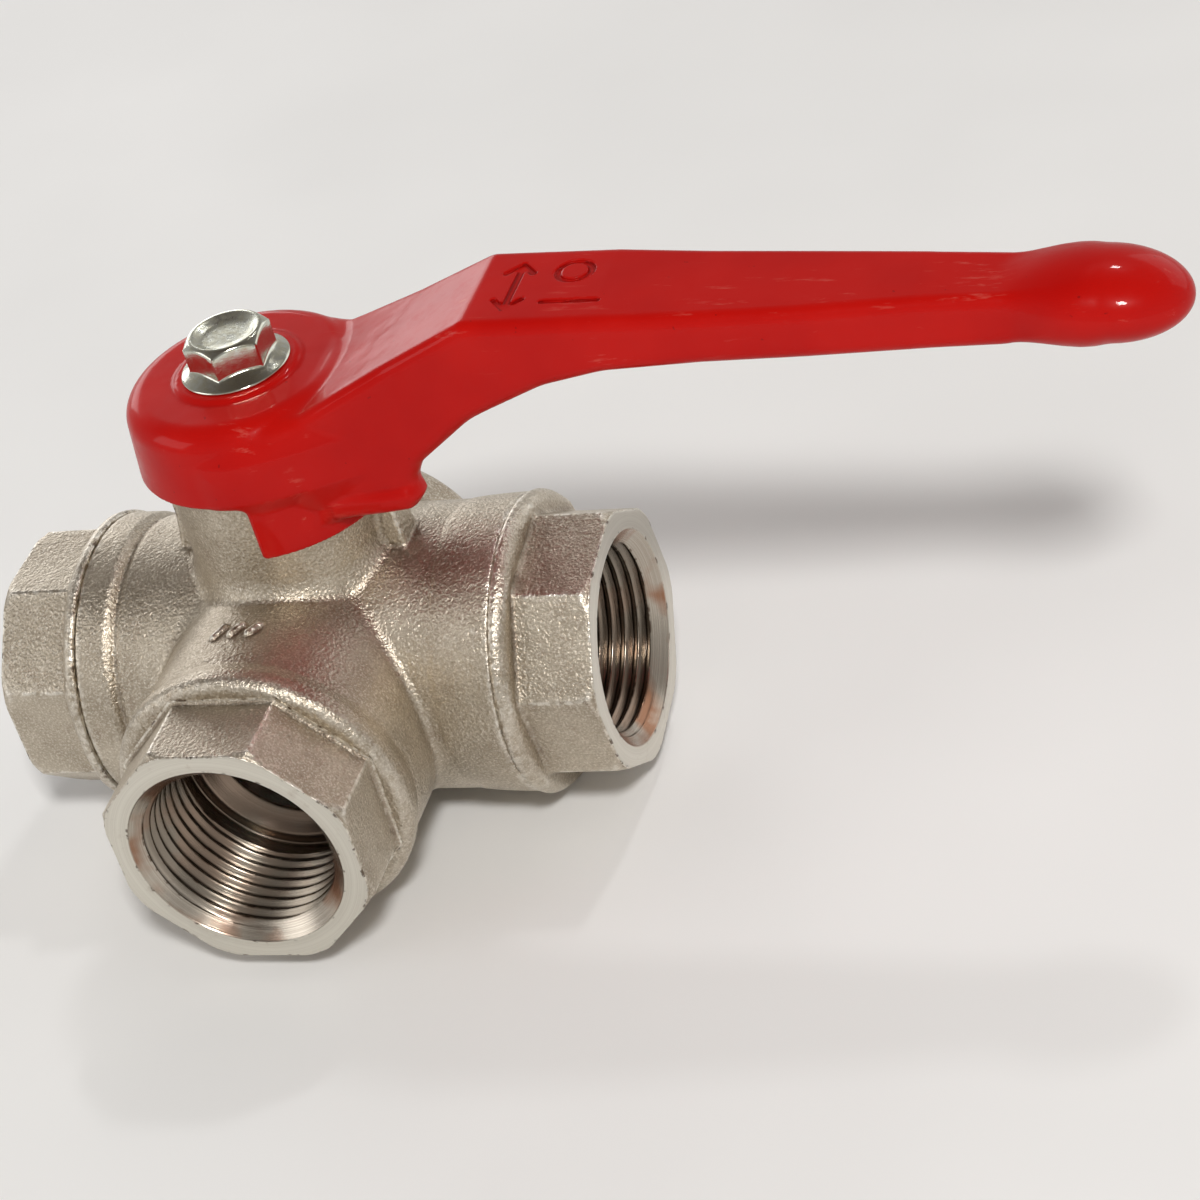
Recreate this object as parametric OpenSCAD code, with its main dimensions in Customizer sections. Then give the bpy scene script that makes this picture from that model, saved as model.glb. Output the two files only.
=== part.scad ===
// Three-way ball valve, nominal size 3/4 inch (DN 20), threaded ports and a lever.
// Origin: the centre of the ball.  +X right port and lever, -X left port,
// -Y front branch port, +Y closed back, +Z up the stem.  Millimetres.

/* [Ports] */
// Distance from the ball's centre to each port's face
port_reach = 41.6; // [41:0.2:52]
// Width of the octagonal ends across flats
octagon_af = 33; // [32:0.5:40]
// Radius of the port's wall at the thread's crests
thread_minor_r = 12.06; // [9:0.01:12.3]
// Depth of the threaded wall, measured from the port's face
thread_depth = 15.5; // [12:0.5:16]
// Radius of the countersink at the port's face
mouth_r = 14; // [12.5:0.1:14.8]
// Angle by which the right cap came to rest when it was screwed home
right_cap_turn = 11; // [0:1:45]
// Angle by which the left cap came to rest when it was screwed home
left_cap_turn = 0; // [0:1:45]

/* [Body] */
// Outer radius of the barrels
barrel_r = 18.9; // [18.4:0.1:22]
// Distance from the centre to the joint between the body and each screwed cap
joint_x = 29.1; // [28:0.1:31]
// Outer radius of the body's and the caps' flanges
flange_r = 19.8; // [19.6:0.1:24]
// Length of the raised flange at each end of the body
flange_length = 5.6; // [3:0.1:7]
// Thickness of the collar behind each octagon
collar_thickness = 2.3; // [1.5:0.1:4]
// Distance from the centre to the end of the closed back
back_reach = 21.9; // [21:0.1:26]
// Radius of the closed back
back_r = 16.5; // [14.5:0.1:18]
// Radius of the boss that carries the stem
boss_r = 13.4; // [11:0.1:13.8]
// Height of the top of the stem boss above the centre
boss_top = 35; // [34:0.1:36]
// Radius that the stop ribs reach to
rib_reach = 15.8; // [15.2:0.1:17]
// Width of the stop ribs
rib_width = 5.8; // [4:0.1:8]
// Height of the top of the stop ribs above the centre
rib_top = 28; // [27:0.1:28.4]

/* [Ball, seats and stem] */
// Radius of the ball
ball_r = 15.5; // [15:0.1:15.8]
// Radius of the flow passage
flow_r = 9; // [7:0.1:9.4]
// Distance from the centre to the back of each seat
seat_back = 18; // [17:0.1:18.6]
// Outer radius of the seats
seat_r = 12.5; // [11.8:0.1:12.8]
// Radius of the stem
stem_r = 4.5; // [4:0.1:5]
// Radius of the collar that keeps the stem from blowing out
stem_collar_r = 6.6; // [6:0.1:7.5]
// Width of the stem's driving tang
tang_width = 4.9; // [4:0.1:6]
// Length of the stem's driving tang
tang_length = 10; // [8:0.1:11]
// Width of the stem's head across its two flats
stem_flats = 6.4; // [5:0.1:7]

/* [Lever] */
// Height of the top of the lever's hub above the centre
hub_top = 44.9; // [44.5:0.1:47]
// Radius of the hub at its top edge
hub_r = 15.2; // [15:0.1:17]
// Radius of the hub at the rim of its skirt
skirt_r = 16.1; // [15.9:0.1:18]
// Height of the rim of the hub's skirt above the centre
skirt_bottom = 34.5; // [34:0.1:36]
// Height of the bottom of the stop lug above the centre
lug_bottom = 26.3; // [25:0.1:27]
// Height of the bottom of the arm's two side tabs above the centre
tab_bottom = 28.9; // [28.6:0.1:31]
// Thickness of the hub's top
hub_web = 4; // [3:0.1:5]
// Wall thickness of the arm
arm_wall = 2.4; // [1.8:0.1:2.6]
// Thickness of the arm's top
arm_top = 2.8; // [2:0.1:3.2]
// Distance from the stem's axis to the lever's tip
lever_reach = 119.4; // [112:0.5:145]
// Height of the arm's bend above the centre
bend_z = 53.9; // [51:0.1:58]
// Half the width of the arm at the bend
bend_half_width = 8.3; // [7.5:0.1:10]
// Half the width of the arm at its narrow end
neck_half_width = 5.2; // [4.8:0.1:7]
// Angle that the valve turns through between its stops
turn_angle = 90; // [80:1:92]

/* [Bolt] */
// Radius of the bolt's flange
bolt_flange_r = 7.1; // [6:0.1:8]
// Width of the bolt's hexagon across flats
bolt_af = 10; // [8:0.1:11]
// Height of the bolt's head, flange included
bolt_head = 5.2; // [4.5:0.1:7]
// Radius of the bolt's shank
bolt_r = 3; // [2.5:0.1:3]
// Length of the bolt's shank
bolt_length = 14; // [10:1:16]

/* [Fits] */
// Gap between faces that turn on each other
turning_gap = 0.06; // [0.04:0.01:0.1]
// Gap between the ball and its seats
seat_gap = 0.1; // [0.06:0.01:0.2]
// Gap between pieces that are screwed or laid together
assembly_gap = 0.05; // [0.03:0.01:0.1]
// Gap left at the stops when the lever is at either end of its turn
stop_gap = 0.3; // [0.2:0.05:0.6]

/* [Hidden] */
$fn = 64;
over = 1;                                   // how far a cut runs past the face it opens

// Port passage, measured from the ball's centre
thread_end = port_reach - thread_depth;
relief_end = thread_end - 2;                // thread relief groove
relief_r = thread_minor_r + 1.25;
floor_reach = relief_end - 2;               // floor around the flow passage
floor_r = thread_minor_r - 0.4;
mouth_depth = mouth_r - thread_minor_r;
passage_r = flow_r + 0.2;
octagon_corner_r = octagon_af / 2 / cos(22.5);
turned_corner_r = octagon_af / 2 + 0.55;
turned_corner = 1.2;

// Chamber and screwed caps
chamber_r = ball_r + 0.4;
nose_r = chamber_r - 0.1;
cap_thread_r = chamber_r + 1;
cap_bore_r = cap_thread_r + assembly_gap;
seal_in_x = seat_back - 0.4;                // body's shoulder
seal_out_x = seal_in_x + 1.4;               // cap's shoulder
nose_x = ball_r;
pocket_r = seat_r + assembly_gap;
pocket_reach = seat_back + assembly_gap;

// Seats: a spherical face, a bevel that clears the next seat, and a straight rim
seat_hole_r = flow_r + 0.2;
seat_sphere_r = ball_r + seat_gap;
seat_bevel = 0.25;

// Stem stack, heights above the centre
stem_bore_r = stem_r + turning_gap;
slot_floor = ball_r - 4.3;
tang_bottom = slot_floor + 0.1;
stem_collar_bottom = ball_r + 0.1;
stem_collar_top = stem_collar_bottom + 1.6;
washer_bottom = stem_collar_top + turning_gap;
washer_top = washer_bottom + 1.1;
stem_pocket_top = washer_top + assembly_gap;
stem_pocket_r = stem_collar_r + 0.3;
oring_section_r = 0.72;
groove_height = 1.8;
groove_r = stem_bore_r - 2 * (oring_section_r + assembly_gap / 2);
lower_groove_z = stem_pocket_top + 1;
upper_groove_z = lower_groove_z + groove_height + 1;
packing_bottom = boss_top - 10;
packing_top = packing_bottom + 4;
packing_r = stem_bore_r + 2.8;
gland_bore_r = packing_r + assembly_gap;
gland_af = 17;
gland_head = 4;
web_bottom = hub_top - hub_web;
stem_shoulder = web_bottom - assembly_gap;
stem_top = hub_top - 0.4;

// Lever
pad_top = hub_top + 0.4;
pad_r = bolt_flange_r + 0.9;
cavity_r = boss_r + 0.8;
lug_inner_r = cavity_r;
hub_edge = 1.5;
rib_half_angle = asin(rib_width / 2 / lug_inner_r);
stop_clear = stop_gap / lug_inner_r * 180 / PI;
lug_from = -180 + rib_half_angle + turn_angle + stop_clear;
lug_to = -rib_half_angle - stop_clear;
ramp_x = hub_r - 1;
bend_x = ramp_x + (bend_z - hub_top) * 2.28;
knob_r = 4.6;
knob_spread = 2.6;                          // the knob is wider than it is tall by this, each side
knob_tip_r = 3.9;
knob_tip_spread = 1.8;
knob_x = lever_reach - 9.3;
neck_x = knob_x - 13;
neck_z = bend_z - 3.3;
arm_depth = 6.6;
tab_x = skirt_r + 6.1;
tab_from = cavity_r * 0.94;
hollow_x = cavity_r + arm_wall;

// Turn a piece that stands on +Z to point along one of the ports
module to_right() { rotate([0, 90, 0]) children(); }
module to_left() { rotate([0, -90, 0]) children(); }
module to_front() { rotate([90, 0, 0]) children(); }
module to_rear() { rotate([-90, 0, 0]) children(); }

// Disc from z0 to z1 whose far edge is rounded
module rounded_disc(r, z0, z1, edge) {
    rotate_extrude() union() {
        translate([0, z0]) square([r, z1 - z0 - edge]);
        translate([0, z0]) square([r - edge, z1 - z0]);
        translate([r - edge, z1 - edge]) intersection() { circle(edge); square(edge); }
    }
}

// Cylinder from z0 to z1
module rod(r, z0, z1) { translate([0, 0, z0]) cylinder(r = r, h = z1 - z0); }

// Ring from z0 to z1
module tube(outer_r, inner_r, z0, z1) {
    difference() {
        rod(outer_r, z0, z1);
        rod(inner_r, z0 - over, z1 + over);
    }
}

// Octagonal end with its outer corners turned down, from z0 to the port's face
module octagon_end(z0) {
    intersection() {
        translate([0, 0, z0]) rotate(22.5) cylinder(r = octagon_corner_r, h = port_reach - z0, $fn = 8);
        union() {
            rod(octagon_corner_r + over, z0 - over, port_reach - turned_corner);
            translate([0, 0, port_reach - turned_corner])
                cylinder(r1 = octagon_corner_r + 0.05, r2 = turned_corner_r, h = turned_corner);
        }
    }
}

// The collar and the octagon of a port
module port_outside() {
    rounded_disc(flange_r, joint_x, joint_x + collar_thickness, collar_thickness - 0.5);
    octagon_end(joint_x);
}

// What is cut out of a port: countersink, thread wall, relief, floor and flow passage
module port_passage() {
    translate([0, 0, port_reach - mouth_depth])
        cylinder(r1 = thread_minor_r, r2 = mouth_r + over, h = mouth_depth + over);
    rod(thread_minor_r, thread_end - over / 2, port_reach);
    rod(relief_r, relief_end, thread_end);
    rod(floor_r, floor_reach, relief_end + over / 2);
    rod(passage_r, 0, floor_reach + over);
}

// A stop rib, seen from the stem's axis
module stop_rib() {
    translate([0, -rib_width / 2, 0]) cube([rib_reach, rib_width, rib_top]);
}

module body() {
    color([0.66, 0.62, 0.56]) difference() {
        union() {
            to_right() rod(barrel_r, -joint_x, joint_x);
            to_right() rounded_disc(flange_r - 0.4, joint_x - flange_length, joint_x, 0.4);
            to_left() rounded_disc(flange_r - 0.4, joint_x - flange_length, joint_x, 0.4);
            to_front() rod(barrel_r, 0, joint_x);
            to_front() rod(flange_r - 0.4, joint_x - flange_length / 2, joint_x);
            to_front() port_outside();
            to_rear() rounded_disc(back_r, 0, back_reach, 2);
            rod(boss_r, 0, boss_top);
            stop_rib();
            rotate(180) stop_rib();
        }
        to_right() rod(chamber_r, -joint_x, joint_x);
        to_right() rod(cap_bore_r, seal_in_x, joint_x + over);
        to_left() rod(cap_bore_r, seal_in_x, joint_x + over);
        to_front() port_passage();
        to_front() rod(pocket_r, 0, pocket_reach);
        to_rear() rod(pocket_r, 0, pocket_reach);
        rod(stem_pocket_r, 0, stem_pocket_top);
        rod(stem_bore_r, 0, boss_top);
        rod(gland_bore_r, packing_bottom, boss_top + over);
    }
}

// A screwed cap, standing on +Z
module end_cap() {
    difference() {
        union() {
            port_outside();
            rod(cap_thread_r, seal_out_x, joint_x + over);
            rod(nose_r, nose_x, joint_x);
        }
        port_passage();
        rod(pocket_r, nose_x - over, pocket_reach);
    }
}
module end_cap_right() { color([0.68, 0.65, 0.59]) to_right() rotate(right_cap_turn) end_cap(); }
module end_cap_left() { color([0.68, 0.65, 0.59]) to_left() rotate(left_cap_turn) end_cap(); }

// The PTFE ring between a cap's shoulder and the body's, standing on +Z
module cap_seal() {
    tube(cap_thread_r - assembly_gap, nose_r + assembly_gap,
         seal_in_x + assembly_gap, seal_out_x - assembly_gap);
}
module cap_seal_right() { color("white") to_right() cap_seal(); }
module cap_seal_left() { color("white") to_left() cap_seal(); }

// L-shaped passage from the front port to the right port, and a slot for the stem's tang
module ball() {
    color([0.8, 0.8, 0.82]) difference() {
        sphere(r = ball_r, $fn = 96);
        sphere(r = flow_r);
        to_right() rod(flow_r, 0, ball_r + over);
        to_front() rod(flow_r, 0, ball_r + over);
        translate([-ball_r, -tang_width / 2 - assembly_gap, slot_floor])
            cube([2 * ball_r, tang_width + 2 * assembly_gap, ball_r]);
    }
}

// A seat ring, standing on +Z
module seat() {
    difference() {
        intersection() {
            rod(seat_r, 0, seat_back);
            translate([0, 0, seat_bevel]) cylinder(r1 = 0, r2 = seat_back, h = seat_back);
        }
        rod(seat_hole_r, 0, seat_back + over);
        sphere(r = seat_sphere_r, $fn = 96);
    }
}
module seat_right() { color("ivory") to_right() seat(); }
module seat_left() { color("ivory") to_left() seat(); }
module seat_front() { color("ivory") to_front() seat(); }
module seat_rear() { color("ivory") to_rear() seat(); }

module stem() {
    color([0.78, 0.68, 0.42]) difference() {
        union() {
            translate([-tang_length / 2, -tang_width / 2, tang_bottom])
                cube([tang_length, tang_width, stem_collar_bottom + 0.5 - tang_bottom]);
            rod(stem_collar_r, stem_collar_bottom, stem_collar_top);
            rod(stem_r, stem_collar_bottom, stem_shoulder);
            intersection() {
                rod(stem_r, stem_shoulder - over, stem_top);
                translate([-stem_r, -stem_flats / 2, stem_shoulder - over])
                    cube([2 * stem_r, stem_flats, stem_top]);
            }
        }
        for (z = [lower_groove_z, upper_groove_z])
            tube(stem_r + over, groove_r, z, z + groove_height);
        rod(bolt_r + assembly_gap, pad_top - bolt_length - over, stem_top + over);
    }
}

module thrust_washer() {
    color("white") tube(stem_pocket_r - assembly_gap, stem_bore_r, washer_bottom, washer_top);
}

// An O-ring in the stem's groove that starts at height z
module stem_oring(z) {
    translate([0, 0, z + groove_height / 2]) rotate_extrude()
        translate([groove_r + assembly_gap / 2 + oring_section_r, 0]) circle(oring_section_r, $fn = 32);
}
module stem_oring_lower() { color("black") stem_oring(lower_groove_z); }
module stem_oring_upper() { color("black") stem_oring(upper_groove_z); }

module packing_ring() {
    color("white") tube(packing_r, stem_bore_r, packing_bottom + assembly_gap, packing_top - assembly_gap);
}

// Screwed gland with a hexagonal head, hidden under the lever's hub
module gland_nut() {
    color([0.78, 0.68, 0.42]) difference() {
        union() {
            rod(packing_r, packing_top, boss_top + over);
            translate([0, 0, boss_top + assembly_gap])
                cylinder(r = gland_af / 2 / cos(30), h = gland_head, $fn = 6);
        }
        rod(stem_bore_r, packing_top - over, boss_top + gland_head + over);
    }
}

// Side view of the arm
module arm_side() {
    polygon([[0, hub_top - 0.2], [ramp_x, hub_top - 0.2], [bend_x, bend_z], [bend_x + 16, bend_z - 1],
             [neck_x, neck_z], [knob_x, neck_z - 0.6], [knob_x, neck_z - arm_depth + 0.4],
             [neck_x, neck_z - arm_depth], [bend_x + 28, bend_z - 8.1], [bend_x + 16, bend_z - 8],
             [bend_x + 8, bend_z - 9.4], [bend_x - 2.5, bend_z - 13.5], [tab_x + 1.2, skirt_bottom - 0.5],
             [tab_x + 1.4, tab_bottom + 1.4], [tab_x, tab_bottom], [tab_from, tab_bottom],
             [tab_from, skirt_bottom + 0.3], [0, skirt_bottom + 0.3]]);
}

// Side view of the hollow under the arm: it opens downwards
module hollow_side() {
    polygon([[hollow_x, hub_top - arm_top - 0.6], [ramp_x + 3, hub_top - arm_top],
             [bend_x + 0.8, bend_z - arm_top - 0.2], [bend_x + 16, bend_z - 1 - arm_top],
             [neck_x + 4, neck_z - arm_top], [neck_x + 4, 0], [hollow_x, 0]]);
}

// Plan view of the arm.  wall is how far the outline is moved in, for the hollow.
module arm_plan(wall) {
    half = [[0, hub_r - 1.5], [8, 12.6], [ramp_x - 0.4, 10.9], [bend_x - 12, 9.3],
            [bend_x, bend_half_width], [bend_x + 16, bend_half_width - 0.1],
            [neck_x - 22, (bend_half_width + neck_half_width) / 2 + 0.1],
            [neck_x, neck_half_width], [knob_x, neck_half_width + 0.4]];
    last = len(half) - 1;
    polygon(concat([for (p = half) [p[0], p[1] - wall]],
                   [for (i = [last : -1 : 0]) [half[i][0], wall - half[i][1]]]));
}

// The arm, where its side view and its plan view meet
module arm_form() {
    intersection() {
        rotate([90, 0, 0]) linear_extrude(height = 3 * skirt_r, center = true) arm_side();
        linear_extrude(height = bend_z + over) arm_plan(0);
    }
}

// The hollow under the arm
module arm_hollow() {
    intersection() {
        rotate([90, 0, 0]) linear_extrude(height = 3 * skirt_r, center = true) hollow_side();
        linear_extrude(height = bend_z + over) arm_plan(arm_wall);
    }
}

// A flattened ball across the lever
module lobe(x, r, spread) {
    translate([x, 0, neck_z - 4]) {
        for (side = [-1, 1]) translate([0, spread * side, 0]) sphere(r = r);
        rotate([90, 0, 0]) cylinder(r = r, h = 2 * spread, center = true);
    }
}

// The egg-shaped knob at the lever's tip
module knob() {
    lobe(knob_x - 4.5, knob_r - 0.2, knob_spread);
    lobe(knob_x, knob_r, knob_spread);
    lobe(lever_reach - knob_tip_r, knob_tip_r, knob_tip_spread);
}

// The hub: a skirted cup that widens towards its rim
module hub_form() {
    rotate_extrude() polygon([[0, skirt_bottom], [skirt_r, skirt_bottom], [skirt_r, skirt_bottom + 0.6],
                              [hub_r + 0.2, hub_top - hub_edge], [hub_r - hub_edge * 0.3, hub_top - hub_edge * 0.3],
                              [hub_r - hub_edge, hub_top], [0, hub_top]]);
    rod(pad_r, hub_top - over, pad_top);
}

// The stop lug that runs between the two ribs
module stop_lug() {
    rotate([0, 0, lug_from]) rotate_extrude(angle = lug_to - lug_from)
        translate([lug_inner_r - 0.5, lug_bottom])
            square([skirt_r - 0.1 - lug_inner_r + 0.5, skirt_bottom + 0.5 - lug_bottom]);
}

module lever() {
    color([0.78, 0.05, 0.04]) difference() {
        union() {
            hub_form();
            arm_form();
            stop_lug();
            knob();
        }
        rod(cavity_r, 0, web_bottom);
        arm_hollow();
        intersection() {
            rod(stem_r + assembly_gap, web_bottom - over, pad_top + over);
            translate([-stem_r - over, -stem_flats / 2 - assembly_gap, web_bottom - 2 * over])
                cube([2 * stem_r + 2 * over, stem_flats + 2 * assembly_gap, hub_web + 5]);
        }
    }
}

// Flanged bolt with a dished hexagonal head
module lever_bolt() {
    head_top = pad_top + bolt_head;
    color([0.82, 0.82, 0.78]) difference() {
        union() {
            rod(bolt_r, pad_top - bolt_length, pad_top + over);
            rod(bolt_flange_r, pad_top, pad_top + 0.5);
            translate([0, 0, pad_top + 0.5])
                cylinder(r1 = bolt_flange_r, r2 = bolt_af / 2 + 0.3, h = 1.1);
            intersection() {
                translate([0, 0, pad_top]) rotate(2)
                    cylinder(r = bolt_af / 2 / cos(30), h = bolt_head, $fn = 6);
                union() {
                    rod(bolt_af, pad_top, head_top - 0.6);
                    translate([0, 0, head_top - 0.6])
                        cylinder(r1 = bolt_af / 2 / cos(30) + 0.05, r2 = bolt_af / 2 - 0.3, h = 0.6);
                }
            }
        }
        translate([0, 0, head_top - 0.7]) cylinder(r1 = bolt_af / 2 - 1.7, r2 = bolt_af / 2 - 0.9, h = 0.8);
    }
}

body();
end_cap_left();
end_cap_right();
cap_seal_left();
cap_seal_right();
ball();
seat_left();
seat_right();
seat_front();
seat_rear();
stem();
thrust_washer();
stem_oring_lower();
stem_oring_upper();
packing_ring();
gland_nut();
lever();
lever_bolt();
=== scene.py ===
"""Looks of the three-way ball valve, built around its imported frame.

Shapes are worked out in millimetres, in the frame's axes, and made into meshes in metres.
Castings are distance fields meshed on a grid; turned and faceted pieces are lofts around an axis."""

import math

import bpy
import numpy as np
from mathutils import Matrix, Vector


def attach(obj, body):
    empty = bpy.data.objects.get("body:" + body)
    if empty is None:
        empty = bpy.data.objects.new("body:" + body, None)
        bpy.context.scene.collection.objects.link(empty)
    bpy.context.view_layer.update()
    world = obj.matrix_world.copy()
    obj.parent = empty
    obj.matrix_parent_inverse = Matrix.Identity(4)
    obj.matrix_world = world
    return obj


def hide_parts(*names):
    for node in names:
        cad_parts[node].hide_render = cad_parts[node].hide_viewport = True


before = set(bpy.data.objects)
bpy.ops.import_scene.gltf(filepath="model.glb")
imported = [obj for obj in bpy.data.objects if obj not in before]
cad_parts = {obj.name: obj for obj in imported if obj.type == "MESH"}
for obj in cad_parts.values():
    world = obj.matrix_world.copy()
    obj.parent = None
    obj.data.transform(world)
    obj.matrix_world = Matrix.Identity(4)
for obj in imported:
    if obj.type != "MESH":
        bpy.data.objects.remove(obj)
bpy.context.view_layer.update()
MM = 0.001
COARSE = 1.0

# ---------------------------------------------------------------- distance fields


def union(a, b, r):
    """Union whose inner corner is filled to radius r."""
    return np.maximum(r, np.minimum(a, b)) - np.hypot(np.maximum(r - a, 0), np.maximum(r - b, 0))


def both(a, b, r):
    """Intersection whose outer edge is rounded to radius r."""
    return np.minimum(-r, np.maximum(a, b)) + np.hypot(np.maximum(r + a, 0), np.maximum(r + b, 0))


def cut(a, b, r=0.0):
    """a with b taken out, its edge rounded to radius r."""
    return both(a, -b, r) if r else np.maximum(a, -b)


def smooth_line(points):
    """A curve through points that doesn't overshoot them."""
    xs, ys = np.array(points, float).T
    h = np.diff(xs)
    s = np.diff(ys) / h
    m = np.zeros_like(xs)
    rising = s[:-1] * s[1:] > 0
    w1, w2 = 2 * h[1:] + h[:-1], h[1:] + 2 * h[:-1]
    safe = np.where(s == 0, 1, s)
    m[1:-1] = np.where(rising, (w1 + w2) / (w1 / safe[:-1] + w2 / safe[1:]), 0)
    m[0], m[-1] = s[0], s[-1]

    def at(x):
        x = np.clip(x, xs[0], xs[-1])
        i = np.clip(np.searchsorted(xs, x) - 1, 0, len(h) - 1)
        t = (x - xs[i]) / h[i]
        return (
            (1 + 2 * t) * (1 - t) ** 2 * ys[i]
            + t * (1 - t) ** 2 * h[i] * m[i]
            + t * t * (3 - 2 * t) * ys[i + 1]
            + t * t * (t - 1) * h[i] * m[i + 1]
        )

    return at


def outline(points, steps=5):
    """A closed outline from (x, y, corner radius) points."""
    p = np.array([q[:2] for q in points], float)
    out = []
    for i, (_, _, r) in enumerate(points):
        a, b, c = p[i - 1], p[i], p[(i + 1) % len(p)]
        u, v = a - b, c - b
        lu, lv = np.hypot(*u), np.hypot(*v)
        u, v = u / lu, v / lv
        half = math.acos(max(-1.0, min(1.0, float(u @ v)))) / 2
        reach = min(r / math.tan(half), 0.48 * lu, 0.48 * lv) if half < 1.56 else 0
        if reach < 1e-3:
            out.append(b)
            continue
        for t in np.linspace(0, 1, steps + 1):  # a quadratic arc from one tangent point to the other
            out.append((1 - t) ** 2 * (b + u * reach) + 2 * t * (1 - t) * b + t * t * (b + v * reach))
    return np.array(out)


def inside_outline(points, steps=5):
    """Distance to a closed outline, negative inside it."""
    p = outline(points, steps)

    def at(x, y):
        shape = np.broadcast(x, y).shape
        d, inside = np.full(shape, np.inf), np.zeros(shape, bool)
        for (ax, ay), (bx, by) in zip(p, np.roll(p, -1, 0)):
            ex, ey = bx - ax, by - ay
            px, py = x - ax, y - ay
            t = np.clip((px * ex + py * ey) / (ex * ex + ey * ey + 1e-12), 0, 1)
            d = np.minimum(d, (px - t * ex) ** 2 + (py - t * ey) ** 2)
            if ey:
                inside ^= ((ay > y) != (by > y)) & (x < ex * py / ey + ax)
        return np.where(inside, -1, 1) * np.sqrt(d)

    return at


def stroke(x, y, ax, ay, bx, by):
    """Distance to the straight line that runs from a to b."""
    ex, ey = bx - ax, by - ay
    t = np.clip(((x - ax) * ex + (y - ay) * ey) / (ex * ex + ey * ey), 0, 1)
    return np.hypot(x - ax - t * ex, y - ay - t * ey)


def spaced(*parts):
    """Grid lines from (start, end, spacing) runs that follow on from each other."""
    out = [parts[0][0]]
    for a, b, step in parts:
        n = max(1, round((b - a) / (step * COARSE)))
        out += list(a + (b - a) * (np.arange(n) + 1) / n)
    return np.array(out)


# ---------------------------------------------------------------- meshes


def slope(field, p, h=0.02):
    """Unit normals of a field at points p."""
    k = np.array([[1, -1, -1], [-1, -1, 1], [-1, 1, -1], [1, 1, 1]], float)
    g = sum(e * field(*(p + h * e).T)[:, None] for e in k)
    return g / np.maximum(np.linalg.norm(g, axis=1, keepdims=True), 1e-9)


def grid_mesh(field, axes):
    """Points and four-sided faces where the field is 0, from its values at the axes' grid lines."""
    gx, gy, gz = axes
    v = np.ascontiguousarray(np.broadcast_to(
        field(gx[:, None, None], gy[None, :, None], gz[None, None, :]), (len(gx), len(gy), len(gz))))
    inside = v < 0
    cells = np.zeros(tuple(n - 1 for n in v.shape), np.int8)
    for i in (0, 1):
        for j in (0, 1):
            for k in (0, 1):
                cells += inside[i:i + cells.shape[0], j:j + cells.shape[1], k:k + cells.shape[2]]
    mixed = (cells > 0) & (cells < 8)
    number = np.full(cells.shape, -1, np.int64)
    at = np.argwhere(mixed)
    number[mixed] = np.arange(len(at))
    total, count = np.zeros((len(at), 3)), np.zeros(len(at))
    for axis in range(3):
        others = [a for a in range(3) if a != axis]
        for i in (0, 1):
            for j in (0, 1):
                a = at.copy()
                a[:, others[0]] += i
                a[:, others[1]] += j
                b = a.copy()
                b[:, axis] += 1
                va, vb = v[tuple(a.T)], v[tuple(b.T)]
                crossed = (va < 0) != (vb < 0)
                t = np.where(crossed, va / np.where(crossed, va - vb, 1), 0)[:, None]
                pa = np.stack([gx[a[:, 0]], gy[a[:, 1]], gz[a[:, 2]]], 1)
                pb = np.stack([gx[b[:, 0]], gy[b[:, 1]], gz[b[:, 2]]], 1)
                total += np.where(crossed[:, None], pa + t * (pb - pa), 0)
                count += crossed
    p = total / count[:, None]
    faces = []
    for axis in range(3):
        o1, o2 = (axis + 1) % 3, (axis + 2) % 3
        low = np.take(inside, range(v.shape[axis] - 1), axis)
        high = np.take(inside, range(1, v.shape[axis]), axis)
        edge = np.argwhere(low != high)
        edge = edge[(edge[:, o1] > 0) & (edge[:, o2] > 0)
                    & (edge[:, o1] < v.shape[o1] - 1) & (edge[:, o2] < v.shape[o2] - 1)]
        ring = []
        for d1, d2 in ((-1, -1), (0, -1), (0, 0), (-1, 0)):
            c = edge.copy()
            c[:, o1] += d1
            c[:, o2] += d2
            ring.append(number[tuple(c.T)])
        ring = np.stack(ring, 1)
        outward = low[tuple(edge.T)]
        ring[~outward] = ring[~outward][:, ::-1]
        faces.append(ring)
    faces = np.concatenate(faces)

    def settle(p, most):
        """Points moved onto the surface in two steps, each at most the length given."""
        for _ in range(2):
            d = field(*p.T)[:, None]
            p = p - np.clip(d, -most, most) * slope(field, p)
        return p

    p = settle(p, 0.25)
    a = np.concatenate([faces, faces]).ravel()
    b = np.concatenate([np.roll(faces, 1, 1), np.roll(faces, -1, 1)]).ravel()
    share = np.bincount(a, minlength=len(p))[:, None]
    mean = np.stack([np.bincount(a, p[b, i], len(p)) for i in range(3)], 1) / share
    n = slope(field, p)
    move = mean - p  # points slide along the surface towards the middle of their neighbours
    p = settle(p + 0.6 * (move - (move * n).sum(1, keepdims=True) * n), 0.1)
    return p, faces


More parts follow.
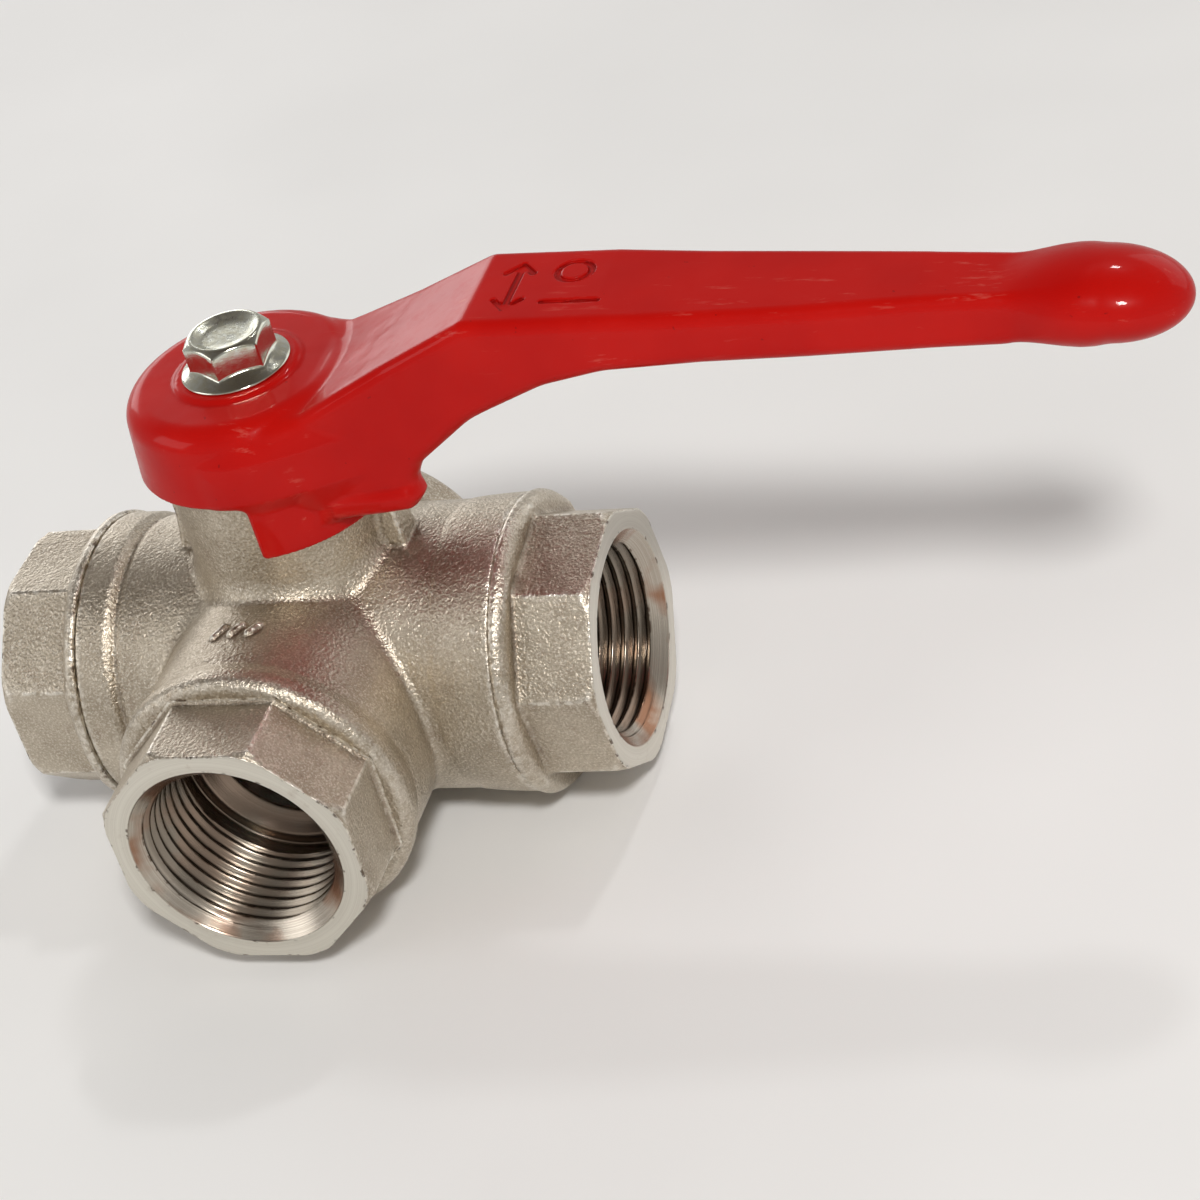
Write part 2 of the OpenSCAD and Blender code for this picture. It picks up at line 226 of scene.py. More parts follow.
def add_mesh(name, p, faces, body, nodes=(), material=None, normals=None, facts=None, sharp=None):
    """A piece from points in millimetres. facts are per-point values that its material reads."""
    me = bpy.data.meshes.new(name)
    faces = np.asarray(faces)
    me.vertices.add(len(p))
    me.vertices.foreach_set("co", (np.asarray(p) * MM).astype(np.float32).ravel())
    me.loops.add(faces.size)
    me.loops.foreach_set("vertex_index", faces.astype(np.int32).ravel())
    me.polygons.add(len(faces))
    me.polygons.foreach_set("loop_start", np.arange(0, faces.size, faces.shape[1], dtype=np.int32))
    me.update(calc_edges=True)
    me.validate()
    me.shade_smooth()
    if sharp is not None:
        me.set_sharp_from_angle(angle=math.radians(sharp))
    if normals is not None:
        me.normals_split_custom_set_from_vertices(normals.astype(np.float32))
    n = np.zeros(len(me.vertices) * 3, np.float32)
    me.vertices.foreach_get("normal", n)
    n = normals if normals is not None else n.reshape(-1, 3)
    facts = dict(facts or {})
    facts["curve"] = bend(p, n, faces)
    for key, values in facts.items():
        me.attributes.new(key, "FLOAT", "POINT").data.foreach_set("value", np.asarray(values, np.float32))
    o = bpy.data.objects.new(name, me)
    bpy.context.scene.collection.objects.link(o)
    if material:
        me.materials.append(material)
    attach(o, body)
    if nodes:
        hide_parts(*nodes)
    return o


def bend(p, n, faces):
    """How sharply the surface bends at each point, per millimetre: above 0 on edges, below 0 in corners."""
    a, b = faces.ravel(), np.roll(faces, -1, 1).ravel()
    e = p[b] - p[a]
    c = ((n[b] - n[a]) * e).sum(1) / np.maximum((e * e).sum(1), 1e-4)
    share = np.bincount(a, minlength=len(p)) + np.bincount(b, minlength=len(p))
    out = (np.bincount(a, c, len(p)) + np.bincount(b, c, len(p))) / np.maximum(share, 1)
    for _ in range(2):
        near = np.bincount(a, out[b], len(p)) + np.bincount(b, out[a], len(p))
        out = 0.5 * out + 0.5 * near / np.maximum(share, 1)
    return np.clip(out, -2, 2)


# ---------------------------------------------------------------- lofts around an axis


def facet_angles(sides, inradius, corner_r, flat_steps, corner_steps):
    """Angles that fall on the corners of a prism with rounded corners, and its radius at each."""
    turn = 2 * math.pi / sides
    half = turn / 2
    flat = (inradius - corner_r) * math.tan(half)
    centre = (inradius - corner_r) / math.cos(half)
    angles, radii = [], []
    for k in range(sides):
        for t in np.linspace(-flat, flat, flat_steps):
            angles.append(k * turn + math.atan2(t, inradius))
            radii.append(math.hypot(t, inradius))
        for a in (np.arange(corner_steps) + 1) / (corner_steps + 1) * turn:
            x = centre * math.cos(half) + corner_r * math.cos(a)
            y = centre * math.sin(half) + corner_r * math.sin(a)
            angles.append(k * turn + math.atan2(y, x))
            radii.append(math.hypot(x, y))
    return np.array(angles), np.array(radii)


def loft(angles, rings, axis, turn=0.0, tip=False):
    """Points and faces of rings (distance along the axis, radius at each angle).
    Without tip the last ring joins the first; with it both ends close on the axis."""
    a, u, v = (np.array(c, float) for c in axis)
    n = len(angles)
    across = np.cos(angles + turn)[:, None] * u + np.sin(angles + turn)[:, None] * v
    p = np.concatenate([np.asarray(r, float)[:, None] * across + s * a for s, r in rings])
    rows, k = len(rings), np.arange(n)
    k2 = (k + 1) % n
    faces = []
    for i in range(rows if not tip else rows - 1):
        j = (i + 1) % rows
        faces.append(np.stack([i * n + k, i * n + k2, j * n + k2, j * n + k], 1))
    return p, np.concatenate(faces)


RIGHT = ((1, 0, 0), (0, 1, 0), (0, 0, 1))
LEFT = ((-1, 0, 0), (0, -1, 0), (0, 0, 1))
FRONT = ((0, -1, 0), (1, 0, 0), (0, 0, 1))
UP = ((0, 0, 1), (1, 0, 0), (0, 1, 0))

PORT_REACH, OCTAGON_IN, OCTAGON_CORNER = 41.6, 16.5, 0.75
PITCH, THREAD_IN, THREAD_END = 1.814, 12.06, 26.1
THREAD_DEPTH, CREST = 0.78, 0.08  # depth of the thread's V, and the share of a flank that its crest cuts off
THREAD_STEP = 0.12  # between rings
MOUTH_R, RELIEF_R, RELIEF_END, FLOOR_R, FLOOR_REACH, PASSAGE_R = 14.0, 13.31, 24.1, 11.66, 22.1, 9.2
JOINT, FLANGE_R, GAP = 29.1, 19.8, 0.02  # where a cap meets the body, its flange, and the line between them
CAP_BACK, CAST_BACK = 31.35, 31.4  # where the octagon of a cap starts, and that of the cast port
TURNED_R, TURNED = 17.05, 1.2  # the turned face, and how far its cone runs back over the corners
BACK_FILLET, DRAFT = 0.7, 0.06  # behind the octagon, and how much slimmer it gets towards its face
FLANGE_EDGE, FACE_EDGE, MOUTH_EDGE = 0.35, 0.22, 0.12
CAST, FACED, BROKEN_EDGE, THREADED = 0, 1, 1.5, 2  # values of finish that the plating reads


def port_end(name, axis, turn, screwed, nodes, material):
    """The octagonal end of a port with its turned face, countersink and thread.
    screwed is true for an end cap, false for the end that is cast on the body."""
    ang, octagon = facet_angles(8, OCTAGON_IN, OCTAGON_CORNER, 13, 7)
    ones = np.ones_like(ang)
    rings, finish = [], []

    def ring(s, r, kind):
        rings.append((s, r * ones))
        finish.append(np.full(len(ang), float(kind)))

    def outside(s, back):
        """Radius of the octagon at s: corners turned down near the face, a fillet at the back."""
        cone = TURNED_R + (PORT_REACH - s) / TURNED * (OCTAGON_IN / math.cos(math.pi / 8) + 0.05 - TURNED_R)
        f = np.clip((back + BACK_FILLET - s) / BACK_FILLET, 0, 1)
        draft = DRAFT * (s - back) / (PORT_REACH - back)
        return np.minimum(octagon, cone) + BACK_FILLET * (1 - np.sqrt(1 - f * f)) - draft

    if screwed:
        back = CAP_BACK
        start = JOINT + GAP
        ring(start, 16.9, CAST)
        ring(start, 18.4, CAST)
        for t in np.linspace(0, 1, 5):  # the flange's edge at the joint
            a = t * math.pi / 2
            ring(start + FLANGE_EDGE * (1 - math.cos(a)), FLANGE_R - 0.4 + FLANGE_EDGE * math.sin(a), CAST)
        top = outside(back, back)
        for t in np.linspace(0, 1, 12):  # the flange rounds over to the foot of the octagon
            a = t * math.pi / 2
            ring(JOINT + 0.5 + (back - JOINT - 0.5) * math.sin(a),
                 top + (FLANGE_R - top) * (math.cos(a) ** 0.9 if t < 1 else 0), CAST)
    else:
        back = CAST_BACK
        ring(back - 0.1, 15.0, CAST)
        ring(back - 0.1, outside(back, back), CAST)
        ring(back, outside(back, back), CAST)
    fillet = back + BACK_FILLET * (1 - np.cos(np.linspace(0.3, math.pi / 2, 6)))
    for s in np.r_[fillet, np.arange(33, 41), 40.4, 40.6, 40.8, 41.0, 41.2, 41.35]:
        ring(s, outside(s, back), CAST)
    edge = outside(PORT_REACH - 0.2, back)
    for t in np.linspace(0, 1, 5):
        a = t * math.pi / 2
        ring(PORT_REACH - FACE_EDGE * (1 - math.sin(a)), edge - FACE_EDGE * (1 - math.cos(a)),
             FACED if t > 0.5 else CAST)
    for t in np.linspace(0.06, 1, 10):
        ring(PORT_REACH, edge - FACE_EDGE + t * (MOUTH_R + MOUTH_EDGE - edge + FACE_EDGE), FACED)
    for t in np.linspace(0.25, 1, 4):
        a = t * math.pi / 2
        ring(PORT_REACH - 0.1 + 0.1 * math.cos(a), MOUTH_R + MOUTH_EDGE * (1 - math.sin(a)), BROKEN_EDGE)
    for s in np.arange(PORT_REACH - 0.2, THREAD_END - 0.01, -THREAD_STEP):
        near = 1 - np.abs(2 * np.mod(s / PITCH - ang / (2 * math.pi), 1.0) - 1)  # 1 at the root of the V
        t = np.clip((near - CREST) / (1 - 1.6 * CREST), 0, 1)
        r = THREAD_IN + THREAD_DEPTH * (0.7 * t + 0.3 * t * t * (3 - 2 * t))
        r = np.maximum(r, MOUTH_R - 0.02 - (PORT_REACH - 0.1 - s))  # the countersink cuts the first turns
        r = np.maximum(r, RELIEF_R - 0.1 - (s - THREAD_END) * 0.9)  # and the relief the last ones
        ring(s, r, THREADED)
    relief = [
        (THREAD_END - 0.1, RELIEF_R), (THREAD_END - 0.5, RELIEF_R), (RELIEF_END + 0.5, RELIEF_R),
        (RELIEF_END + 0.2, RELIEF_R - 0.1), (RELIEF_END + 0.05, RELIEF_R - 0.3), (RELIEF_END, RELIEF_R - 0.6)]
    shoulder = [  # a cone from the relief's floor to the passage
        (RELIEF_END, FLOOR_R + 0.3), (RELIEF_END - 0.1, FLOOR_R + 0.05), (RELIEF_END - 0.25, FLOOR_R - 0.15),
        (23.2, 10.95), (22.6, 10.15), (FLOOR_REACH + 0.1, PASSAGE_R + 0.3),
        (FLOOR_REACH - 0.08, PASSAGE_R + 0.08), (FLOOR_REACH - 0.35, PASSAGE_R), (FLOOR_REACH - 1, PASSAGE_R)]
    if screwed:  # the seat's pocket, the cap's nose and its plain shank
        inner = [(20, PASSAGE_R), (18.05, PASSAGE_R), (18.05, 12.55), (15.5, 12.55), (15.5, 15.8),
                 (17.6, 15.8), (19.05, 15.85), (19.05, 16.9), (22, 16.9), (26, 16.9)]
    else:  # the liner of the cast port, inside the casting's bore
        inner = [(20, PASSAGE_R), (18.25, PASSAGE_R), (18.25, 15.0), (22, 15.0), (27, 15.0)]
    for s, r in relief + shoulder + inner:
        ring(s, r, THREADED)
    p, faces = loft(ang, rings, axis, turn)
    far = np.concatenate([r for _, r in rings])
    along = np.concatenate([np.full(len(ang), float(s)) for s, _ in rings])
    return add_mesh(name, p, faces, "valve_body", nodes, material,
                    facts={"finish": np.concatenate(finish), "radius": far, "along": along}, sharp=38)


# ---------------------------------------------------------------- the body's casting

left_wall = smooth_line([(0, 18.9), (22.6, 18.9), (23.5, 18.55), (24.2, 19.05), (25.2, 19.4), (29.1, 19.45)])
right_wall = smooth_line([(0, 18.9), (14, 18.9), (20.4, 18.92), (21.2, 19.08), (27, 19.45), (29.1, 19.5)])
front_wall = smooth_line([(0, 18.9), (25.2, 18.9), (26.2, 18.82), (27.4, 19.15), (28.8, 19.5), (33, 19.5)])

FRONT_END, BACK_R, BACK_REACH = 31.35, 16.5, 21.9
BOSS_R, BOSS_TOP = 13.4, 35
RIB_REACH, RIB_TOP, RIB_HALF, RIB_OFF, RIB_EDGE = 15.3, 27.5, 1.5, 0.9, 0.5
RAISED = [(x, -20.7, x + 1.0, -19.0) for x in (-4.6, -2.1, 0.4)]  # three equal strokes on the front barrel
RAISED_R, RAISED_AT = 0.62, 18.85
CHAMBER_R, CAP_BORE_R, SEAL_REACH = 15.9, 16.95, 17.6
POCKET_R, POCKET_REACH, LINER_R, LINER_REACH = 12.55, 18.1, 15.02, 18.2
STEM_POCKET_R, STEM_BORE_R, GLAND_BORE_R, GLAND_FLOOR = 6.9, 4.56, 7.41, 25


def casting(x, y, z):
    """Outside of the body: two barrels, the closed back, the stem boss with its stop ribs, the strokes."""
    around_x, around_y, around_z = np.hypot(y, z), np.hypot(x, z), np.hypot(x, y)
    reach = np.abs(x)
    wall = np.where(x < 0, left_wall(reach), right_wall(reach))
    side = both(around_x - wall, reach - JOINT, 0.45)
    front = np.maximum(both(around_y - front_wall(-y), -y - FRONT_END, 1.6), y)
    rear = np.maximum(both(around_y - BACK_R, y - BACK_REACH, 2.2), -y)
    d = union(side, front, 1.1)
    d = union(d, rear, 1.4)
    flare = np.clip(2.8 - d, 0, 2.8) ** 2  # the boss spreads just above the barrels
    boss = np.maximum(both(around_z - BOSS_R - 0.14 * flare, z - BOSS_TOP, 0.7), -z)
    d = union(d, boss, 0.5)
    foot = 0.12 * np.clip(23.5 - z, 0, 4)  # the ribs widen towards their feet
    out, aside = reach - RIB_REACH - foot, np.abs(y * np.sign(x) + RIB_OFF) - RIB_HALF - foot
    q = (np.maximum(out, 0), np.maximum(aside, 0), np.maximum(z - RIB_TOP, 0))
    rib = np.sqrt(q[0] ** 2 + q[1] ** 2 + q[2] ** 2) - RIB_EDGE
    d = union(d, np.maximum(rib, 12 - z), 0.6)
    for ax, ay, bx, by in RAISED:
        mark = np.hypot(stroke(x, y, ax, ay, bx, by), around_y - RAISED_AT) - RAISED_R
        d = union(d, np.maximum(mark, 10 - z), 0.15)
    return d


def body_field(x, y, z):
    """The casting with its bores: for the caps, the seats, the front port's liner, the stem and the gland."""
    around_x, around_y, around_z = np.hypot(y, z), np.hypot(x, z), np.hypot(x, y)
    reach = np.abs(x)
    d = casting(x, y, z)
    d = cut(d, around_x - CHAMBER_R)
    d = cut(d, np.maximum(around_x - CAP_BORE_R, SEAL_REACH - reach), 0.2)
    d = cut(d, np.maximum(around_y - POCKET_R, np.abs(y) - POCKET_REACH))
    d = cut(d, np.maximum(np.maximum(around_y - LINER_R, LINER_REACH + y), y))
    d = cut(d, np.maximum(around_z - STEM_POCKET_R, np.abs(z - 10) - 8.4))
    d = cut(d, np.maximum(around_z - STEM_BORE_R, -z))
    return cut(d, np.maximum(around_z - GLAND_BORE_R, GLAND_FLOOR - z), 0.2)


def build_body(material):
    """The grid is finer at the ribs, at the front edge and around the raised strokes."""
    wide, mark = 0.6, 0.26
    axes = (spaced((-29.6, -16.6, wide), (-16.6, -14.6, 0.3), (-14.6, -5.6, wide), (-5.6, 2.4, mark),
                   (2.4, 14.6, wide), (14.6, 16.6, 0.3), (16.6, 29.6, wide)),
            spaced((-32, -30, 0.32), (-30, -21.6, wide), (-21.6, -18, mark), (-18, -2.6, wide),
                   (-2.6, 2.6, 0.36), (2.6, 22.4, wide)),
            spaced((-20.1, 17.6, wide), (17.6, 20, mark), (20, 35.5, wide)))
    p, faces = grid_mesh(body_field, axes)
    n = slope(body_field, p, 0.05)
    zero = np.zeros(len(p))
    return add_mesh("body_casting", p, faces, "valve_body", ["body"], material, n,
                    {"finish": zero, "radius": zero, "along": zero})


# ---------------------------------------------------------------- the lever

HUB_TOP, BEND_X, BEND_Z = 44.9, 34.7, 53.6
SKIRT_R, SKIRT_BOTTOM, LUG_BOTTOM, HUB_BORE_R, HUB_CEILING = 16.1, 34.5, 26.3, 14.2, 40.9
PAD_R, PAD_Z, STEM_HOLE_R, STEM_FLATS, ARM_WALL = 8.0, 45.3, 4.55, 6.5, 2.4
arm_side = inside_outline([
    (0, 38.9, 0), (BEND_X, BEND_Z, 2.5), (50.7, 52.95, 10), (62, 52.15, 10), (74.5, 51.5, 10),
    (88.6, 50.95, 10), (99, 50.25, 10), (108, 48.6, 2), (109, 44.8, 2), (98, 44.0, 10), (80, 44.9, 10),
    (62.7, 45.8, 10), (50.7, 45.95, 12), (42.7, 44.5, 12), (32.2, 40.4, 12), (24.4, 34.9, 4),
    (23.1, 32.6, 2.5), (23.5, 30.3, 0.8), (22.2, 28.9, 0.9), (10.8, 28.9, 0), (10.8, 35, 0), (0, 35, 0)])
PLAN = [(0, 13.7), (8, 12.4), (14.5, 10.9), (23.5, 9.2), (35, 8.3), (51, 8.15), (75, 6.75), (90, 5.5),
        (99, 5.05), (110, 5.6)]  # half the arm's width along it
arm_plan = inside_outline([(x, w, 8) for x, w in PLAN] + [(x, -w, 8) for x, w in PLAN[::-1]])
hollow_side = inside_outline([
    (16.6, 41.4, 1), (18.6, 42.4, 2), (35.4, 50.9, 3), (50.7, 50.1, 5), (97, 47.6, 2), (101, 30, 0),
    (16.6, 26, 0)])
hollow_plan = inside_outline([(x, w - ARM_WALL, 3) for x, w in PLAN[1:-1]]
                             + [(x, ARM_WALL - w, 3) for x, w in PLAN[-2:0:-1]])
KNOB_X, KNOB_Z, KNOB_SIZE = 109.8, 46.9, (9.6, 7.3, 4.9)  # an egg, whose half lengths these are
TIP_COS, TIP_SIN = math.cos(math.radians(7)), math.sin(math.radians(7))  # its nose droops
LUG_FROM, LUG_TO = math.radians(-78.7), math.radians(-13.5)
ENGRAVED_HALF, ENGRAVED_DEPTH = 0.42, 0.38


def engraved(x, y):
    """A double arrow across the arm, with a ring by one head and a bar by the other."""
    marks = [
        stroke(x, y, 39.4, -4.6, 39.4, 4.6),
        stroke(x, y, 39.4, 4.8, 37.7, 2.9), stroke(x, y, 39.4, 4.8, 41.1, 2.9),
        stroke(x, y, 39.4, -4.8, 37.7, -2.9), stroke(x, y, 39.4, -4.8, 41.1, -2.9),
        np.abs(np.hypot(x - 46.3, y - 3.0) - 2.1),
        stroke(x, y, 43.9, -3.6, 50.6, -3.6),
    ]
    return np.minimum.reduce(np.broadcast_arrays(*marks)) - ENGRAVED_HALF


def lever_outside(x, y, z):
    """Outside of the lever: hub with stop lug, arm with two side tabs, knob and the bolt's pad."""
    around = np.hypot(x, y)
    wall = (around - (SKIRT_R - np.maximum(z - SKIRT_BOTTOM, 0) * 0.9 / 9.4)) / 1.005
    lug = both(LUG_BOTTOM - z, math.sin(LUG_FROM) * x - math.cos(LUG_FROM) * y, 0.7)
    lug = both(lug, math.cos(LUG_TO) * y - math.sin(LUG_TO) * x, 0.7)
    hub = both(both(wall, z - HUB_TOP, 2.8), union(SKIRT_BOTTOM - z, lug, 1.2), 0.5)
    side, plan = arm_side(x, z) - 0.25, arm_plan(x, y)
    arm = both(side, plan - 0.45, 1.7)
    d = union(hub, arm, 1.0 + 4.5 * np.clip((44.5 - z) / 4, 0, 1) * np.clip((z - 31) / 4, 0, 1))
    lip = 0.9 * np.clip((x - 13) / 6, 0, 1)  # the tabs' lower edge stands out towards their ends
    tab = both(both(side + 0.5, plan - 0.3 - lip, 1.0), z - 31.8, 0.9)
    d = union(d, np.maximum(tab, 13 - x), 0.9)
    dx, dz = x - KNOB_X, z - KNOB_Z
    length, width, height = KNOB_SIZE
    e = ((dx * TIP_COS - dz * TIP_SIN) / length, y / width, (dx * TIP_SIN + dz * TIP_COS) / height)
    k0 = np.sqrt(e[0] ** 2 + e[1] ** 2 + e[2] ** 2)
    k1 = np.sqrt((e[0] / length) ** 2 + (e[1] / width) ** 2 + (e[2] / height) ** 2)
    egg = k0 * (k0 - 1) / np.maximum(k1, 1e-6)
    d = union(d, egg, 3.5)
    return union(d, both(around - PAD_R, z - PAD_Z, 0.3), 0.8)


def lever_field(x, y, z):
    """The lever with its engraving, the hub's bore, the hollow under the arm and the hole for the stem."""
    around = np.hypot(x, y)
    d = lever_outside(x, y, z)
    d = cut(d, np.maximum(engraved(x, y), -ENGRAVED_DEPTH - d), 0.12)
    d = cut(d, np.maximum(around - HUB_BORE_R, z - HUB_CEILING), 0.45)
    d = cut(d, both(hollow_side(x, z), hollow_plan(x, y), 0.8), 0.4)
    return cut(d, np.maximum(around - STEM_HOLE_R, np.abs(y) - STEM_FLATS / 2))


def build_lever(material):
    """The grid is finer along the engraving and under the arm's top."""
    axes = (spaced((-16.6, 36, 0.44), (36, 51, 0.2), (51, 98, 0.55), (98, 120, 0.44)),
            spaced((-16.6, -6, 0.44), (-6, 6, 0.22), (6, 16.6, 0.44)),
            spaced((25.8, 44, 0.44), (44, 54.4, 0.36)))
    p, faces = grid_mesh(lever_field, axes)
    n = slope(lever_field, p, 0.05)
    return add_mesh("lever_casting", p, faces, "rotor", ["lever"], material, n)


# ---------------------------------------------------------------- the bolt


def build_bolt(material):
    """The flange bolt: shank, flange, the hexagon on the flange's cone, and its dished top."""
    pad, top, across_flats = PAD_Z, 50.5, 10.0
    shank, shank_r, flange_r = 14, 3, 7.1
    foot_blend, top_blend = 0.35, 0.25
    ang, hexagon = facet_angles(6, across_flats / 2, 0.35, 13, 5)
    ones = np.ones_like(ang)
    rings = []
    for s, r in ((-shank, 0.001), (-shank, shank_r - 0.4), (0.4 - shank, shank_r), (-0.1, shank_r),
                 (0.02, shank_r + 0.2), (0.02, flange_r - 0.4), (0.06, flange_r - 0.18),
                 (0.16, flange_r - 0.04), (0.3, flange_r), (0.42, flange_r - 0.04), (0.52, flange_r - 0.16)):
        rings.append((pad + s, r * ones))
    for z in np.r_[np.arange(pad + 0.6, pad + 2.0, 0.1), np.linspace(pad + 2.0, top - 0.75, 6)]:
        cone = flange_r - 0.16 - (z - pad - 0.52) * 1.75
        h = np.maximum(foot_blend - np.abs(hexagon - cone), 0) / foot_blend
        rings.append((z, np.maximum(hexagon, cone) + h * h * foot_blend / 4))
    for z in np.linspace(top - 0.7, top - 0.08, 8):
        cone = 4.72 + (top - z) * 1.35
        h = np.maximum(top_blend - np.abs(hexagon - cone), 0) / top_blend
        rings.append((z, np.minimum(hexagon, cone) - h * h * top_blend / 4))
    for s, r in ((0.02, 4.7), (0, 4.55), (0, 4.35), (0.05, 4.2), (0.2, 3.9), (0.42, 3.6), (0.58, 3.3),
                 (0.66, 2.9), (0.68, 2.2), (0.67, 1.2), (0.66, 0.001)):
        rings.append((top - s, r * ones))
    p, faces = loft(ang, rings, UP, math.radians(2), tip=True)
    far = np.concatenate([r for _, r in rings])
    top_zone = np.concatenate([np.full(len(ang), float(s > top - 0.75 and r.max() < 4.4)) for s, r in rings])
    return add_mesh("bolt_flanged", p, faces, "rotor", ["lever_bolt"], material,
                    facts={"radius": far, "dish": top_zone}, sharp=42)


# ---------------------------------------------------------------- materials


class Paint:
    """A material built from nodes around one Principled shader."""

    def __init__(self, name, **sockets):
        self.material = bpy.data.materials.new(name)
        self.material.use_nodes = True
        self.tree = self.material.node_tree
        self.shader = self.tree.nodes["Principled BSDF"]
        for key, value in sockets.items():
            self.shader.inputs[key.replace("_", " ")].default_value = value
        self.place = self.node("ShaderNodeTexCoord").outputs["Object"]

    def node(self, kind, inputs=None, **settings):
        n = self.tree.nodes.new(kind)
        for key, value in settings.items():
            setattr(n, key, value)
        for key, value in (inputs or {}).items():
            if isinstance(value, bpy.types.NodeSocket):
                self.tree.links.new(value, n.inputs[key])
            else:
                n.inputs[key].default_value = value
        return n

    def noise(self, size_mm, detail=2.0, roughness=0.5, vector=None, stretch=None):
        """Noise from 0 to 1 whose features are about size_mm across."""
        vector = vector or self.place
        if stretch:
            scaled = {0: vector, 1: stretch}
            vector = self.node("ShaderNodeVectorMath", scaled, operation="MULTIPLY").outputs[0]
        inputs = {"Vector": vector, "Scale": 1 / (size_mm * MM), "Detail": detail, "Roughness": roughness}
        return self.node("ShaderNodeTexNoise", inputs).outputs["Fac"]

    def cells(self, size_mm):
        """Distance to the nearest of scattered points that are about size_mm apart."""
        scattered = {"Vector": self.place, "Scale": 1 / (size_mm * MM)}
        return self.node("ShaderNodeTexVoronoi", scattered).outputs["Distance"]

    def fact(self, name):
        """A value that the mesh holds for each point."""
        return self.node("ShaderNodeAttribute", attribute_name=name).outputs["Fac"]

    def remap(self, value, low, high, to_low=0.0, to_high=1.0):
        return self.node("ShaderNodeMapRange", {"Value": value, "From Min": low, "From Max": high,
                                                "To Min": to_low, "To Max": to_high}).outputs["Result"]

    def math(self, operation, a, b=0.0):
        return self.node("ShaderNodeMath", {0: a, 1: b}, operation=operation).outputs[0]

    def blend(self, amount, a, b):
        """Colour a where amount is 0 and colour b where it is 1."""
        n = self.node("ShaderNodeMix", {"Factor": amount}, data_type="RGBA")
        for socket, value in ((n.inputs[6], a), (n.inputs[7], b)):
            if isinstance(value, bpy.types.NodeSocket):
                self.tree.links.new(value, socket)
            else:
                socket.default_value = (*value, 1)
        return n.outputs[2]

    def bump(self, height, depth_mm, strength=1.0, onto=None):
        inputs = {"Height": height, "Distance": depth_mm * MM, "Strength": strength}
        if onto:
            inputs["Normal"] = onto
        return self.node("ShaderNodeBump", inputs).outputs["Normal"]

    def use(self, **sockets):
        for key, value in sockets.items():
            self.tree.links.new(value, self.shader.inputs[key.replace("_", " ")])
        return self.material


